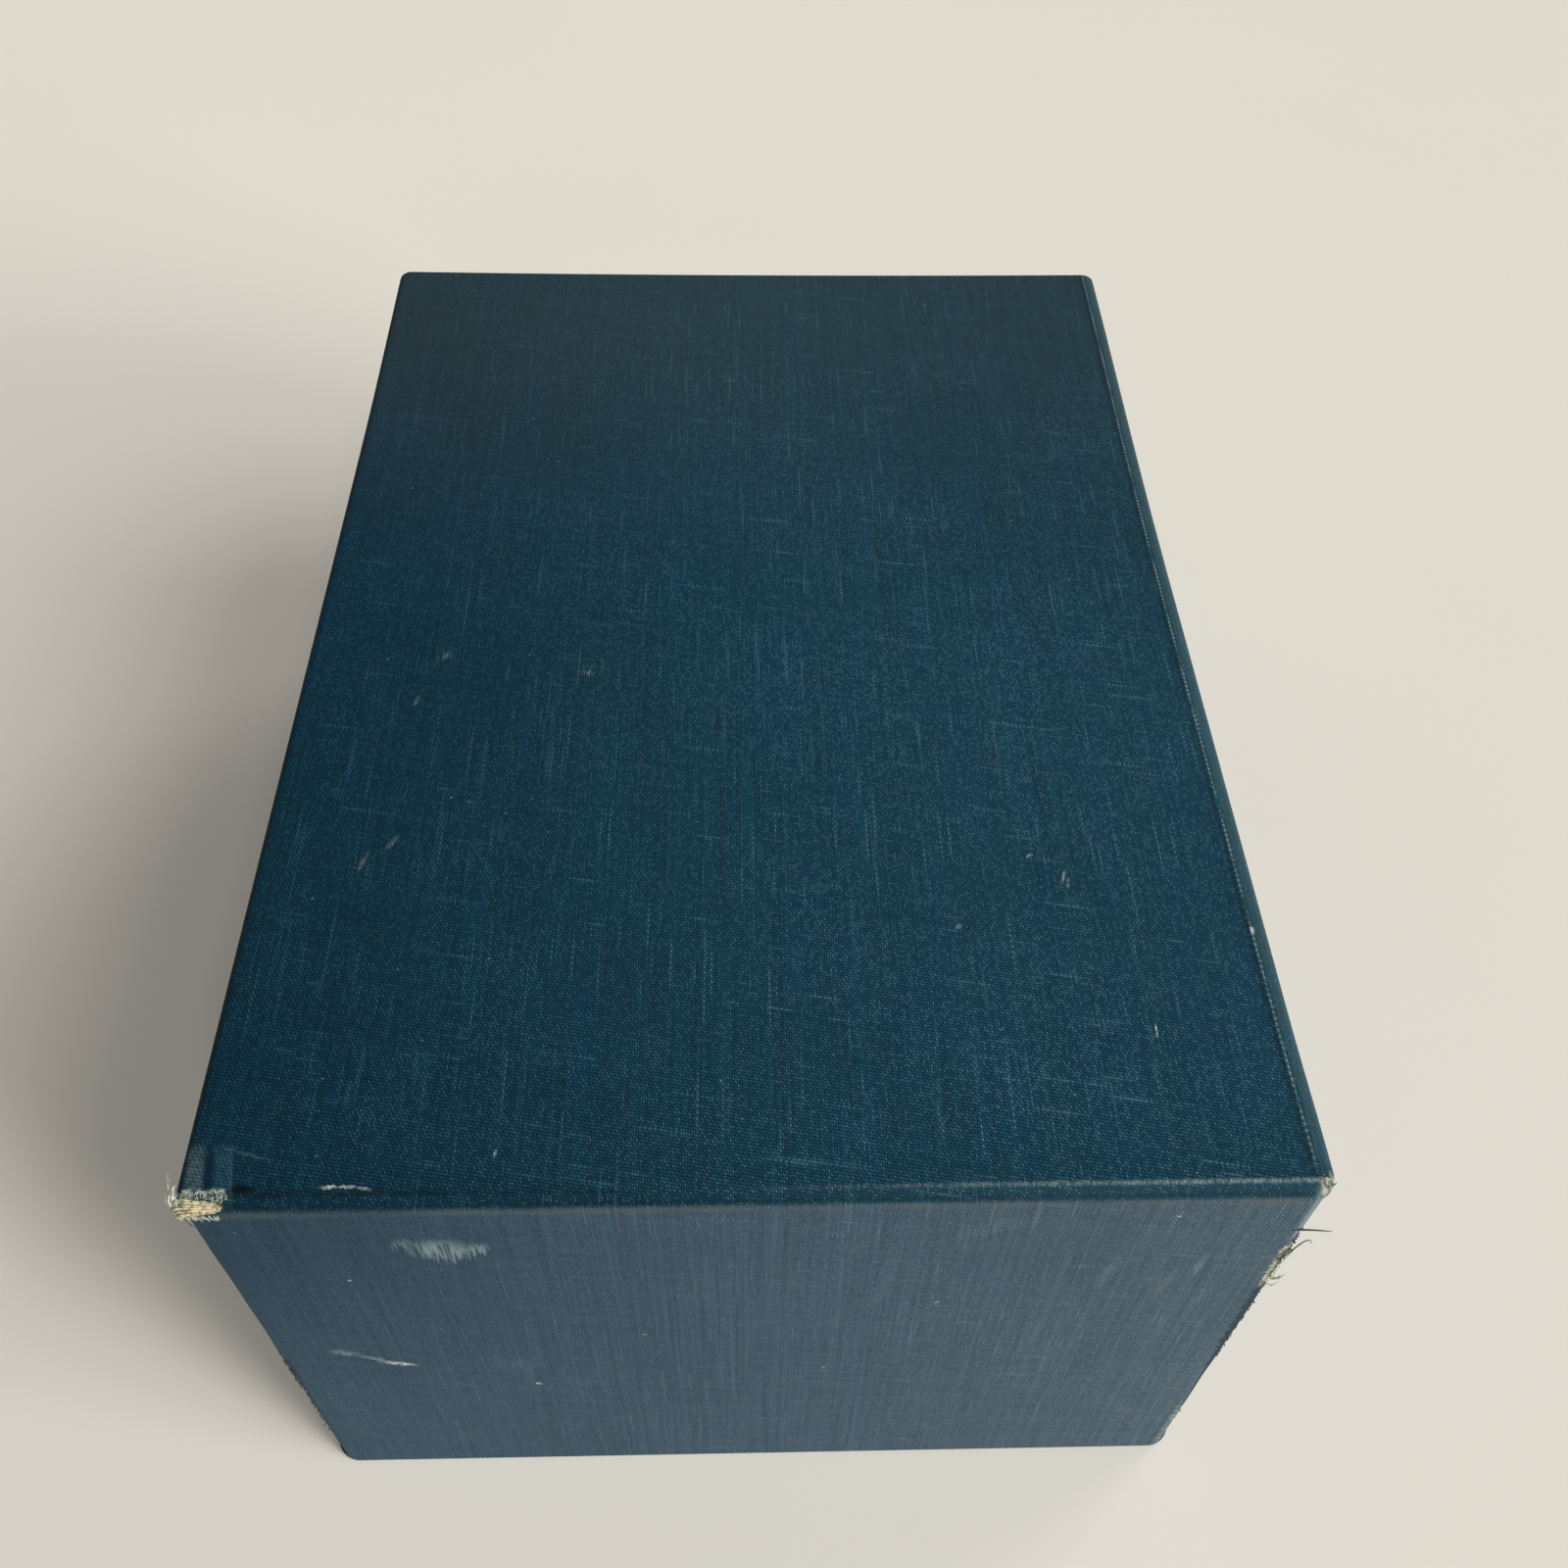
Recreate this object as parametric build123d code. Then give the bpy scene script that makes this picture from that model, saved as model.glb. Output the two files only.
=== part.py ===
from build123d import *
import os

# Clamshell book box: a hinged, cloth-covered case with a tray glued inside each of its two
# sides. The lid's tray closes over the base's tray. Millimetres, +Z up. The box is closed and
# lies on its base, with the origin at the middle of its bottom face. The spine faces -Y, the
# fore-edge +Y and the head -X.

# --- Driving dimensions
case_width = 175.0  # head to tail, over the cloth
case_depth = 252.5  # spine to fore-edge, over the cloth
case_height = 122.0  # closed, over the cloth

case_board = 2.8  # thickness of the lid, spine and base boards
tray_board = 2.4  # thickness of the tray floors and walls
cloth = 0.45  # bookcloth with its glue
lining = 0.25  # lining paper

joint_gap = 1.2  # from the spine board's inner face to the end of the lid or base board
joint_crease = 0.15  # depth of the crease that is pressed into the cloth over the joint
mitre_gap = 0.1  # between the spine's cloth and its neighbours' at the folded edges
turn_in = 15.0  # how far the case cloth is turned over onto a board's inner face
hinge_reach = 20.0  # how far the hinge cloth is glued down on a board
corner_round = 3.0  # fore-edge corners, seen from above
spine_corner_round = 5.0  # worn corners at the spine, seen from above
board_arris = 1.15  # softened edges of the lid and base boards
spine_short = 1.2  # how far the spine stops short of the lid and base at head and tail
spine_round = 3.2  # upright outer edges of the spine, over the cloth

square = 3.0  # how far the case stands out past the lid's tray
tray_set_back = 0.35  # from the end of a case board to the open end of its tray
base_wall_height = 88.0  # board height of the base tray's walls
side_gap = 1.0  # between the two trays at head and tail
running_gap = 0.5  # least gap between the trays at the fore-edge while the box opens
rim_gap = 0.3  # between the lid tray's rim and the base, closed

# --- Places worked out from them
side_face = case_width / 2
spine_face = -case_depth / 2
fore_face = case_depth / 2
board_inside = cloth + case_board
case_layer = board_inside + cloth  # cloth, board and turn-in
board_start = spine_face + board_inside + joint_gap
tray_start = board_start + tray_set_back
hinge_end = board_start + hinge_reach
wall_layer = tray_board + 2 * cloth  # a tray wall with cloth on both faces

lid_tray_side = side_face - square
lid_tray_fore = fore_face - square
lid_wall_height = case_height - 2 * case_layer - rim_gap - cloth

# While the spine drops and the lid turns twice as fast, the rim of the base tray's fore-edge
# wall comes nearer to the lid tray's wall by the throw, so the gap there is that much wider.
base_rim = case_layer + base_wall_height + cloth
lead = max(0.0, 2 * base_rim - case_height)
throw = lead**2 / (8 * (lid_tray_fore - wall_layer - spine_face))
base_tray_side = lid_tray_side - wall_layer - side_gap
base_tray_fore = lid_tray_fore - wall_layer - running_gap - throw

past = 1.0  # how far a cutting block runs past the face it cuts


def block(x, y, z):
    """A box that spans the two values of each pair."""
    middle = [(low + high) / 2 for low, high in (x, y, z)]
    size = [high - low for low, high in (x, y, z)]
    return Pos(*middle) * Box(*size)


def slab(side, near, far, bottom, top, corner, arris):
    """A board's shape, with round corners and soft edges everywhere but at its spine end."""
    body = block((-side, side), (near, far), (bottom, top))
    uprights = body.edges().filter_by(Axis.Z).sort_by(Axis.Y)
    body = fillet(uprights[-2:], corner)
    rims = body.edges().filter_by(Axis.Z, reverse=True)
    rims = rims.filter_by(lambda edge: edge.center().Y > near + arris)
    return fillet(rims, arris)


def case_side():
    """The base's board, cloth, hinge cloth and infill paper. The lid's are their mirror image."""
    board = slab(side_face - cloth, board_start, fore_face - cloth, cloth, board_inside,
                 corner_round - cloth, board_arris)

    field_side = side_face - turn_in
    field_fore = fore_face - turn_in
    hinge_cloth = block((-field_side, field_side), (board_start, hinge_end),
                        (board_inside, case_layer))
    infill = block((-field_side, field_side), (hinge_end, field_fore),
                   (board_inside, case_layer))

    wide = (-side_face - past, side_face + past)
    cover = slab(side_face, spine_face, fore_face, 0, case_layer, corner_round,
                 board_arris + cloth)
    cover &= rounded_at_spine(case_layer)
    cover -= block(wide, (spine_face - past, board_start), (cloth, case_layer + past))
    cover -= board
    cover -= block((-field_side, field_side), (board_start - past, field_fore),
                   (board_inside, case_layer + past))
    cover -= block(wide, (board_start - joint_gap, board_start), (-past, joint_crease))
    cover -= folded_edge(wide, past)
    return board, cover, hinge_cloth, infill


def rounded_at_spine(top):
    """A block over the whole base, with worn corners at its spine end."""
    body = block((-side_face, side_face), (spine_face, fore_face + past), (-past, top + past))
    uprights = body.edges().filter_by(Axis.Z).sort_by(Axis.Y)
    return fillet(uprights[:2], spine_corner_round)


def folded_edge(x, reach):
    """The wedge that is cut off the base's cloth where it meets the spine's in a mitre."""
    start = spine_face + mitre_gap
    outline = Polyline((-reach + start, -reach), (cloth + reach + start, cloth + reach),
                       (spine_face - reach, cloth + reach), (spine_face - reach, -reach),
                       close=True)
    face = make_face(Plane.YZ.offset(x[0]) * outline)
    return extrude(face, x[1] - x[0], dir=(1, 0, 0))


def spine():
    """The spine's board, its cloth and the hinge cloth that lines it."""
    low = cloth + mitre_gap
    high = case_height - low
    side = side_face - spine_short
    inside = spine_face + case_layer
    board = block((-side + cloth, side - cloth), (spine_face + cloth, spine_face + board_inside),
                  (low, high))
    uprights = board.edges().filter_by(Axis.Z).sort_by(Axis.Y)
    board = fillet(uprights[:2], spine_round - cloth)

    field_side = side - turn_in
    hinge_cloth = block((-field_side, field_side), (spine_face + board_inside, inside),
                        (low, high))

    cover = block((-side, side), (spine_face, inside), (0, case_height))
    uprights = cover.edges().filter_by(Axis.Z).sort_by(Axis.Y)
    cover = fillet(uprights[:2], spine_round)
    cover -= board
    cover -= block((-field_side, field_side), (spine_face + board_inside, inside + past),
                   (-past, case_height + past))
    cover -= spine_end()
    cover -= mirrored(spine_end())
    return board, cover, hinge_cloth


def spine_end():
    """What is cut off the lower end of the spine's cloth: its mitre, and all that is behind it."""
    low = cloth + mitre_gap
    outline = Polyline((spine_face - past, mitre_gap - past), (spine_face + cloth, low),
                       (spine_face + case_layer + past, low),
                       (spine_face + case_layer + past, -past),
                       (spine_face - past, -past), close=True)
    face = make_face(Plane.YZ.offset(-side_face - past) * outline)
    return extrude(face, case_width + 2 * past, dir=(1, 0, 0))


def tray(side, fore, wall_height):
    """A tray that stands on the base: floor, three walls, cloth and lining, open at the spine."""
    outer = side - cloth
    inner = outer - tray_board
    far = fore - cloth
    floor_top = case_layer + tray_board
    wall_top = case_layer + wall_height
    wall_z = (case_layer, wall_top)
    wall_y = (tray_start + cloth, far)

    head_wall = block((-outer, -inner), wall_y, wall_z)
    tail_wall = block((inner, outer), wall_y, wall_z)
    fore_wall = block((-inner, inner), (far - tray_board, far), wall_z)
    floor = block((-inner, inner), (tray_start + lining, far - tray_board),
                  (case_layer, floor_top))

    cover = block((-side, side), (tray_start, fore), (case_layer, wall_top + cloth))
    cover -= block((-inner + cloth, inner - cloth),
                   (tray_start - past, far - tray_board - cloth),
                   (case_layer - past, wall_top + cloth + past))
    rim = cover.edges().filter_by(Axis.Z, reverse=True).sort_by(Axis.Z)
    rim = rim.filter_by(lambda edge: edge.center().Z > wall_top)
    cover = fillet(rim, cloth)
    for board in (head_wall, tail_wall, fore_wall):
        cover -= board
    cover -= block((-inner, inner), (tray_start - past, far - tray_board),
                   (case_layer - past, floor_top))

    sheet = block((-inner + cloth, inner - cloth), (tray_start, far - tray_board - cloth),
                  (floor_top, floor_top + lining))
    lip = block((-inner, inner), (tray_start, tray_start + lining), (case_layer, floor_top))
    return floor, head_wall, tail_wall, fore_wall, cover, sheet + lip


def mirrored(shape):
    """The shape turned into its mirror image at half the box's height."""
    return mirror(shape, about=Plane.XY.offset(case_height / 2))


# --- Sub-parts
parts = {}

case_nodes = ("case_board", "case_cloth", "hinge_lining", "infill_paper")
for node, shape in zip(case_nodes, case_side()):
    parts["base_" + node] = shape
    parts["lid_" + node] = mirrored(shape)

for node, shape in zip(("spine_board", "spine_cloth", "spine_hinge_lining"), spine()):
    parts[node] = shape

tray_nodes = ("tray_floor", "tray_head_wall", "tray_tail_wall", "tray_fore_wall",
              "tray_cloth", "tray_lining")
for node, shape in zip(tray_nodes, tray(base_tray_side, base_tray_fore, base_wall_height)):
    parts["base_" + node] = shape
for node, shape in zip(tray_nodes, tray(lid_tray_side, lid_tray_fore, lid_wall_height)):
    parts["lid_" + node] = mirrored(shape)

os.makedirs("parts", exist_ok=True)
for node, shape in parts.items():
    export_step(shape, f"parts/{node}.step")
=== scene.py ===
import bpy
import numpy as np
from mathutils import Euler, Matrix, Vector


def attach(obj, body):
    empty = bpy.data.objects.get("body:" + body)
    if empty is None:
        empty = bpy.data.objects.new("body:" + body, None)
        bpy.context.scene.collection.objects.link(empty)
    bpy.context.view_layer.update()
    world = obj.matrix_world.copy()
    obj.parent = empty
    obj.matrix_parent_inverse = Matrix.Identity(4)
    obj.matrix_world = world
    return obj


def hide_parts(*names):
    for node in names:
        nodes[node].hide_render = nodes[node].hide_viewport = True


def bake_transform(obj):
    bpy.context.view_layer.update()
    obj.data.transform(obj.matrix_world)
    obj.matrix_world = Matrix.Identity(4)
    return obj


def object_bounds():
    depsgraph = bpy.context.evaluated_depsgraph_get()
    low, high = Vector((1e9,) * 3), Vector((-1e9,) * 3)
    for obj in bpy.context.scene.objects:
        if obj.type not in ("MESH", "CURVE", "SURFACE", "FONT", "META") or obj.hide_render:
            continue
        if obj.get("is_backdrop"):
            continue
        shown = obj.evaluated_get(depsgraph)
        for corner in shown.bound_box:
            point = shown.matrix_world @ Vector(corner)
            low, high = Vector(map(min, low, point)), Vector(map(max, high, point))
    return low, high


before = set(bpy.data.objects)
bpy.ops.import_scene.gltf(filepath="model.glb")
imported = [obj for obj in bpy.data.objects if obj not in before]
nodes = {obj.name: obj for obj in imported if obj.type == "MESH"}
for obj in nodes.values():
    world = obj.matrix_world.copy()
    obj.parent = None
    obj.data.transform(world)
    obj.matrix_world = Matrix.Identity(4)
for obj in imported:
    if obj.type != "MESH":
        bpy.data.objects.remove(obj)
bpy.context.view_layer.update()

# --- Camera
# It stands in front of the spine and above it, and looks down at the box with a slight turn
# and roll. One lens for the whole frame, with no shift.
camera_place = (-0.00323, -0.22263, 0.33536)
camera_pitch, camera_yaw, camera_roll = np.radians((50.077, 2.722, 1.780))
camera_lens = 34.762


def new_object(name, data):
    """An object in the scene."""
    made = bpy.data.objects.new(name, data)
    bpy.context.scene.collection.objects.link(made)
    return made


camera_data = bpy.data.cameras.new("camera")
camera_data.lens = camera_lens
camera_data.sensor_width = 36.0
camera_data.clip_start = 0.01
camera = new_object("camera", camera_data)
aim = Euler((np.pi / 2 - camera_pitch, 0, -camera_yaw)).to_matrix()
aim = aim @ Matrix.Rotation(camera_roll, 3, "Z")
camera.matrix_world = Matrix.Translation(camera_place) @ aim.to_4x4()
bpy.context.scene.camera = camera

# --- Floor and light
# A plain pale table top, the broad soft light of a tall window at the right, two weaker ones
# from the front and from the far side, and an even pale room.
bpy.context.scene.view_settings.view_transform = "Standard"
floor_drop = 0.0001
floor_reach = 3.0


def paint(red, green, blue):
    """A colour given as 0 to 255 on a screen, as the linear numbers that shaders use."""
    screen = np.array([red, green, blue]) / 255
    linear = np.where(screen <= 0.04045, screen / 12.92, ((screen + 0.055) / 1.055) ** 2.4)
    return (*linear.tolist(), 1.0)


def fill(inputs, values):
    """Sets the inputs of a node to values, or joins them to the outputs of others."""
    for key, value in values.items():
        if isinstance(value, bpy.types.NodeSocket):
            value.id_data.links.new(value, inputs[key])
        else:
            inputs[key].default_value = value


def add(kind, inputs=None, output=0, tree=None, **settings):
    """Adds a shader node, fills its inputs, and gives back one of its outputs.

    Without a tree it goes into the one that its joined inputs come from.
    """
    inputs = inputs or {}
    if tree is None:
        joined = [value for value in inputs.values() if isinstance(value, bpy.types.NodeSocket)]
        tree = joined[0].id_data
    made = tree.nodes.new("ShaderNode" + kind)
    for name, value in settings.items():
        setattr(made, name, value)
    fill(made.inputs, inputs)
    return made.outputs[output]


def reckon(operation, first, second=0.0, third=0.0, clamp=False):
    """One sum on numbers, such as ADD."""
    values = {0: first, 1: second, 2: third}
    return add("Math", values, operation=operation, use_clamp=clamp)


def times(first, *others):
    """Several numbers or masks multiplied together."""
    for other in others:
        first = reckon("MULTIPLY", first, other)
    return first


def mix(share, first, second, way="MIX"):
    """Mixes two colours, or lays the second over the first in another way."""
    values = {0: share, 6: first, 7: second}
    return add("Mix", values, 2, data_type="RGBA", blend_type=way)


def ease(value, low, high, start=0.0, end=1.0):
    """Goes smoothly from start to end as the value goes from low to high."""
    values = {0: value, 1: low, 2: high, 3: start, 4: end}
    return add("MapRange", values, interpolation_type="SMOOTHSTEP")


def noise(place, scale, detail, roughness=0.5, distortion=0.0):
    """Cloudy noise from 0 to 1."""
    return add("TexNoise", {"Vector": place, "Scale": scale, "Detail": detail,
                            "Roughness": roughness, "Distortion": distortion})


def new_material(name):
    """An empty material with a Principled shader, its output and its node tree."""
    material = bpy.data.materials.new(name)
    material.use_nodes = True
    tree = material.node_tree
    return material, tree, tree.nodes["Principled BSDF"].inputs


floor_points = np.array([[-1, -1, 0], [1, -1, 0], [1, 1, 0], [-1, 1, 0]]) * floor_reach
floor_mesh = bpy.data.meshes.new("table_top")
floor_mesh.from_pydata((floor_points - (0, 0, floor_drop)).tolist(), [], [(0, 1, 2, 3)])
table_top = new_object("table_top", floor_mesh)
floor_material, floor_tree, floor_shader = new_material("table_top")
floor_place = add("TexCoord", output=3, tree=floor_tree)
floor_cloud = noise(floor_place, 3.0, 3.0)
floor_colour = mix(floor_cloud, paint(222, 217, 206), paint(227, 223, 213))
fill(floor_shader, {"Base Color": floor_colour, "Roughness": 0.9, "Specular IOR Level": 0.15})
floor_mesh.materials.append(floor_material)
table_top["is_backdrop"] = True

daylight = (1.0, 0.99, 0.975)
light_distance = 2.0
lights = {
    # direction from +X and height, both in degrees, how wide it looks, and strength
    "window_low": (324.8, 18.7, 18.0, 1.96),
    "window_high": (332.5, 42.4, 31.0, 1.69),
    "front_window": (290.3, 48.8, 12.0, 0.92),
    "far_window": (36.0, 25.8, 30.0, 0.73),
}
for light_name, (bearing, climb, width, strength) in lights.items():
    light_data = bpy.data.lights.new(light_name, "SUN")
    light_data.angle = np.radians(width)
    light_data.energy = strength
    light_data.color = daylight
    aim = Euler(np.radians((90 - climb, 0, 90 + bearing))).to_matrix().to_4x4()
    light = new_object(light_name, light_data)
    light.matrix_world = aim @ Matrix.Translation((0, 0, light_distance))

world = bpy.data.worlds.new("room")
bpy.context.scene.world = world
world.use_nodes = True
room = world.node_tree
room.nodes.clear()
seen = add("LightPath", tree=room)
room_light = add("Background", {"Color": (1.0, 0.985, 0.96, 1.0), "Strength": 0.117}, tree=room)
room_seen = add("Background", {"Color": paint(226, 224, 218), "Strength": 1.0}, tree=room)
room_mix = add("MixShader", {0: seen, 1: room_light, 2: room_seen})
room.links.new(room_mix, room.nodes.new("ShaderNodeOutputWorld").inputs[0])

# --- The case's covering: shape
# One sheet of blue bookcloth, glued over the lid, spine and base boards and turned over their
# edges. It is made here in two halves that meet in the middle of the spine, and each bends
# where the spine meets its board. The spine's upright edges are a piece of their own.
case_side = 87.5  # half the case from head to tail
spine_face = -126.25
fore_face = 126.25
case_height = 122.0
board_layer = 3.7  # cloth, board and turn-in
fold_round = 0.8  # outside of the bend between spine and board
edge_round = 1.6  # cloth over a board's edges
spine_corner = 5.0  # plan corners at the spine
fore_corner = 3.0
worn_layer = 1.1  # doubled cloth at the ends of the bend
worn_round = 0.25  # its inner edge
worn_turn_in = 1.9
worn_swell = 0.18
turn_in = 15.0
joint_line = 3.0  # from the spine's face to the crease or ridge over the joint
cloth_thickness = 0.35
mm = 0.001


def arc(first, last, count):
    """Angles in equal steps, given in degrees."""
    return np.radians(np.linspace(first, last, count))


def grid(*axes):
    """Stretches values to one shape and joins them as points."""
    return np.stack(np.broadcast_arrays(*axes), -1)


def smooth(value, low, high):
    """Smoothstep: 0 below low, 1 above high, 3t^2 - 2t^3 between them."""
    t = np.clip((value - low) / (high - low), 0, 1)
    return t * t * (3 - 2 * t)


def grid_corners(rows, columns, flip):
    """Corner numbers of the four-sided faces of a grid of points, row by row."""
    number = np.arange(rows * columns).reshape(rows, columns)
    corners = [number[:-1, :-1], number[:-1, 1:], number[1:, 1:], number[1:, :-1]]
    quads = np.stack(corners, -1).reshape(-1, 4)
    return quads[:, ::-1] if flip else quads


def make_piece(name, patches, caps=()):
    """A mesh from grids of points in millimetres, each with its own map in millimetres.

    A patch is (points[row, column, 3], map[row, column, 2], flip). Points in one place become
    one, faces that lose a corner by it become triangles, and those that lose more go. A cap
    is a closed ring of points, filled with one face.
    """
    points, places, quads, count = [], [], [], 0
    for spots, flat, flip in patches:
        quads.append(grid_corners(*spots.shape[:2], flip) + count)
        points.append(spots.reshape(-1, 3))
        places.append(flat.reshape(-1, 2))
        count += len(points[-1])
    rings = []
    for ring in caps:
        rings.append(np.arange(len(ring)) + count)
        points.append(np.array(ring))
        places.append(np.array(ring)[:, :2])
        count += len(ring)
    points, places, quads = np.vstack(points), np.vstack(places), np.vstack(quads)
    _, first, same = np.unique(np.round(points, 4), axis=0, return_index=True, return_inverse=True)
    same = same.ravel()
    merged = same[quads]
    gone = merged == np.roll(merged, -1, axis=1)
    whole = ~gone.any(1)
    short = gone.sum(1) == 1
    keep = np.sort(np.argsort(gone[short], axis=1, kind="stable")[:, :3], axis=1)
    triangles = np.take_along_axis(quads[short], keep, axis=1)
    corners = np.hstack([quads[whole].ravel(), triangles.ravel(), *rings]).astype(int)
    faces = same[quads[whole]].tolist() + same[triangles].tolist()
    faces += [same[ring].tolist() for ring in rings]
    mesh = bpy.data.meshes.new(name)
    mesh.from_pydata((points[first] * mm).tolist(), [], faces)
    chart = mesh.uv_layers.new(name="cloth")
    chart.uv.foreach_set("vector", (places[corners] * mm).astype(np.float32).ravel())
    mesh.shade_smooth()
    # the open edges of a sheet are cut edges, so they stay sharp once it is thick
    used = np.zeros(len(mesh.loops), np.int32)
    mesh.loops.foreach_get("edge_index", used)
    mesh.edges.foreach_set("use_edge_sharp", np.bincount(used, minlength=len(mesh.edges)) == 1)
    return new_object(name, mesh)


def thicken(piece, thickness):
    """Gives a sheet its thickness, on the side away from its faces."""
    wall = piece.modifiers.new("thickness", "SOLIDIFY")
    wall.thickness = thickness * mm
    wall.offset = -1.0


def round_outline(side, fore, corner, depth, straight, bend, front):
    """x and y of points that lie inside an outline by their depth, station by station.

    Stations go along the side at straight, round the corner by the angles in bend and along
    the fore-edge at front. Where the depth is more than the corner's radius it is a mitre.
    """
    ends = np.cumsum([len(straight), len(bend)])
    past = np.split(np.maximum(depth - corner, 0), ends, 1)
    inset = np.split(depth, ends, 1)
    left = np.maximum(corner - inset[1], 0)
    limit = side - corner - past[2]
    x = [side - inset[0], side - corner + left * np.cos(bend) - past[1],
         np.clip(front, -limit, limit)]
    y = [np.minimum(straight, fore - corner - past[0]),
         fore - corner + left * np.sin(bend) - past[1], fore - inset[2]]
    return np.hstack(x), np.hstack(y)


def whole_ring(half, *tail_side):
    """Adds the head side to a ring: its first half stations, turned over in x, backwards."""
    ring = np.stack(tail_side, -1)
    flip = [-1] + [1] * (len(tail_side) - 1)
    return np.hstack([ring, ring[:, :half][:, ::-1] * flip])


def case_half():
    """Half of the covering, as it lies on the base: outer face at z 0, turn-ins at z 3.7.

    The field is a grid. Its rows go down the spine's face, round the bend, and over the board,
    and each is stretched to the width of the board there, less the round of its edge. The edge
    is a ring round the field: stations along the board's outline, and at each the profile
    quarter circle, wall, quarter circle and turn-in. A point of it lies inside the outline by
    its inset, and where the inset is more than the corner's radius the turn-ins meet in a
    mitre.
    """
    bend = arc(0, 90, 7)
    worn = arc(90, 0, 27)
    easing = np.cos(worn) ** 2  # from 0 at the bend to 1 where the side starts
    plain = np.linspace(spine_face + spine_corner, fore_face - fore_corner, 94)[1:-1]
    round_off = arc(0, 90, 7)
    field_round = fore_corner - edge_round
    worn_edge = fold_round + (edge_round - fold_round) * easing
    worn_base = spine_corner - worn_edge
    face_z = np.hstack([np.linspace(case_height / 2, 5, 13), np.linspace(4, worn_layer, 4)])
    # rows of the field: y, z, half width and distance from the bend, measured over the cloth
    row_y = np.hstack([
        np.full(len(face_z), spine_face), spine_face + fold_round * (1 - np.cos(bend)),
        (spine_face + spine_corner - worn_base * np.sin(worn))[1:], plain,
        fore_face - fore_corner + field_round * np.sin(round_off),
    ])
    row_z = np.hstack([face_z, fold_round * (1 - np.sin(bend))])
    row_z = np.hstack([row_z, np.zeros(len(row_y) - len(row_z))])
    row_half = np.hstack([
        np.full(len(face_z) + len(bend), case_side - spine_corner),
        (case_side - spine_corner + worn_base * np.cos(worn))[1:],
        np.full(len(plain), case_side - edge_round),
        case_side - fore_corner + field_round * np.cos(round_off),
    ])
    row_far = np.hstack([-face_z, fold_round * (2 * bend / bend[-1] - 1),
                         row_y[len(face_z) + len(bend):] - spine_face])
    share = np.linspace(-1, 1, 67)
    across = row_half[:, None] * share
    field = grid(across, row_y[:, None], row_z[:, None])
    field_map = grid(across, row_far[:, None])

    # stations of the ring, tail side first: round of the edge, depth, inner round, turn-in
    front = share[::-1][1:-1] * (case_side - fore_corner)
    others = np.ones(len(plain) + len(round_off) + len(front))
    top_round = np.hstack([worn_edge, edge_round * others])
    depth = np.hstack([worn_layer + (board_layer - worn_layer) * easing, board_layer * others])
    low_round = np.hstack([worn_round + (edge_round - worn_round) * easing, edge_round * others])
    reach = np.hstack([np.full(len(worn) - 1, worn_turn_in), turn_in, turn_in * others])
    quarter = arc(0, 90, 7)[:, None]
    under = np.array([0.0, 0.04, 0.2, 0.5, 1.0])[1:, None]
    inset = np.vstack([
        top_round * (1 - np.sin(quarter)),
        low_round * (1 - np.cos(quarter)),
        low_round + under * (reach - low_round),
    ])
    drop = np.vstack([
        top_round * (1 - np.cos(quarter)),
        depth - low_round + low_round * np.sin(quarter),
        depth + 0 * under,
    ])
    wall = depth - low_round - top_round
    length = np.vstack([
        top_round * quarter,
        top_round * np.pi / 2 + wall + low_round * quarter,
        (top_round + low_round) * np.pi / 2 + wall + under * (reach - low_round),
    ])
    x, y = round_outline(case_side, fore_face, fore_corner, inset[:, len(worn):], plain,
                         round_off, front)
    swell = worn_swell * np.sin(2 * worn) * smooth(drop[:, :len(worn)], 0.0, 1.0)
    radius = spine_corner - inset[:, :len(worn)] + swell
    x = np.hstack([case_side - spine_corner + radius * np.cos(worn), x])
    y = np.hstack([spine_face + spine_corner - radius * np.sin(worn), y])
    way_x = np.hstack([np.cos(worn), np.ones(len(plain)), np.cos(round_off), 0 * front])
    way_y = np.hstack([-np.sin(worn), np.zeros(len(plain)), np.sin(round_off),
                       np.ones(len(front))])
    map_x = x[0] + way_x * length
    map_y = y[0] - spine_face + way_y * length
    half = x.shape[1] - len(front)
    return field, field_map, whole_ring(half, x, y, drop), whole_ring(half, map_x, map_y)


def shape_lid(points):
    """Wear that shows in the lid's shape. Only the crease goes inwards, over the joint.

    A soft ridge or a pressed crease runs over the joint, the strip between it and the bend
    tips down a little, the fore corners lift, and the tail edge bows out towards its ends.
    """
    x, y, z = np.moveaxis(points, -1, 0)
    near = y - spine_face
    surface = 1 - smooth(z, 0.3, 1.6)
    ridge = np.exp(-((near - joint_line) / 0.42) ** 2)
    tall = 0.16 * smooth(x, -30, 25) - 0.17 * (1 - smooth(x, -45, 5))
    behind = np.exp(-((near - joint_line - 1.1) / 0.7) ** 2) * 0.07
    lift = 0.55 * (x / case_side) ** 2 * smooth(y, 30, fore_face)
    raised = ((ridge * tall + behind) * smooth(near, 0.9, 2.2) + lift) * surface
    flare = 1.3 * smooth(y, 10, 150) + 0.25 * smooth(-y, 95, 120)
    flare = flare * smooth(x, 20, case_side) - 0.7 * smooth(y, 60, 150) * smooth(-x, 20, case_side)
    flare = flare * smooth(near, 0.5, 5)
    return np.stack([x + flare, y, z - raised], -1)


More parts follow.
